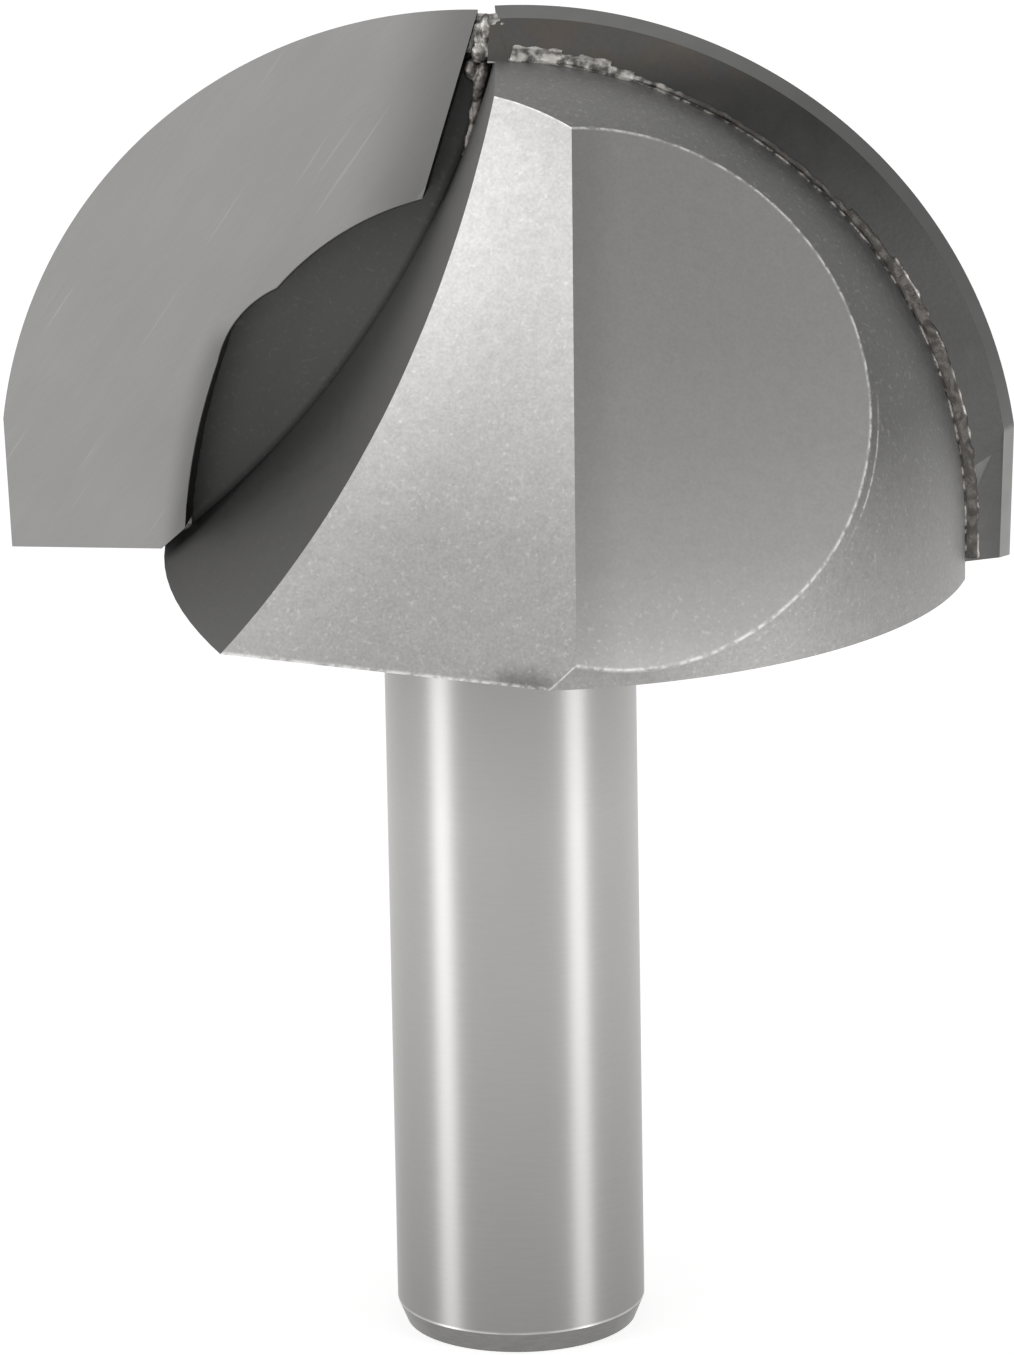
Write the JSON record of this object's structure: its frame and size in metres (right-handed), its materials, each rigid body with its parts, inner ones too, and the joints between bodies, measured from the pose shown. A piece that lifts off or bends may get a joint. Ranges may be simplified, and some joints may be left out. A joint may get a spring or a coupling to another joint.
{
  "type": "core box router bit",
  "caption": "Round-nosed core box router bit: straight shank, steel head with curved ground flutes, and carbide inserts brazed along a half-round cutting edge.",
  "frame": {"origin": "centre of the shank's end face, on which the bit stands", "axes": "+Z along the bit's axis from the shank's end to the nose, X along the cutting edges, with the first insert at +X and its rake face towards +Y"},
  "size_m": [0.0508, 0.0454, 0.0686],
  "materials": {
    "steel": "fine-blasted head with a finer ground shank",
    "carbide": "diamond-ground rake face",
    "braze": "silver solder, slightly rough"
  },
  "bodies": {
    "root": {"bit_body": "steel", "carbide_insert_1": "carbide", "carbide_insert_2": "carbide", "braze_seam_1": "braze", "braze_seam_2": "braze", "nose_bead": "braze"}
  },
  "joints": []
}
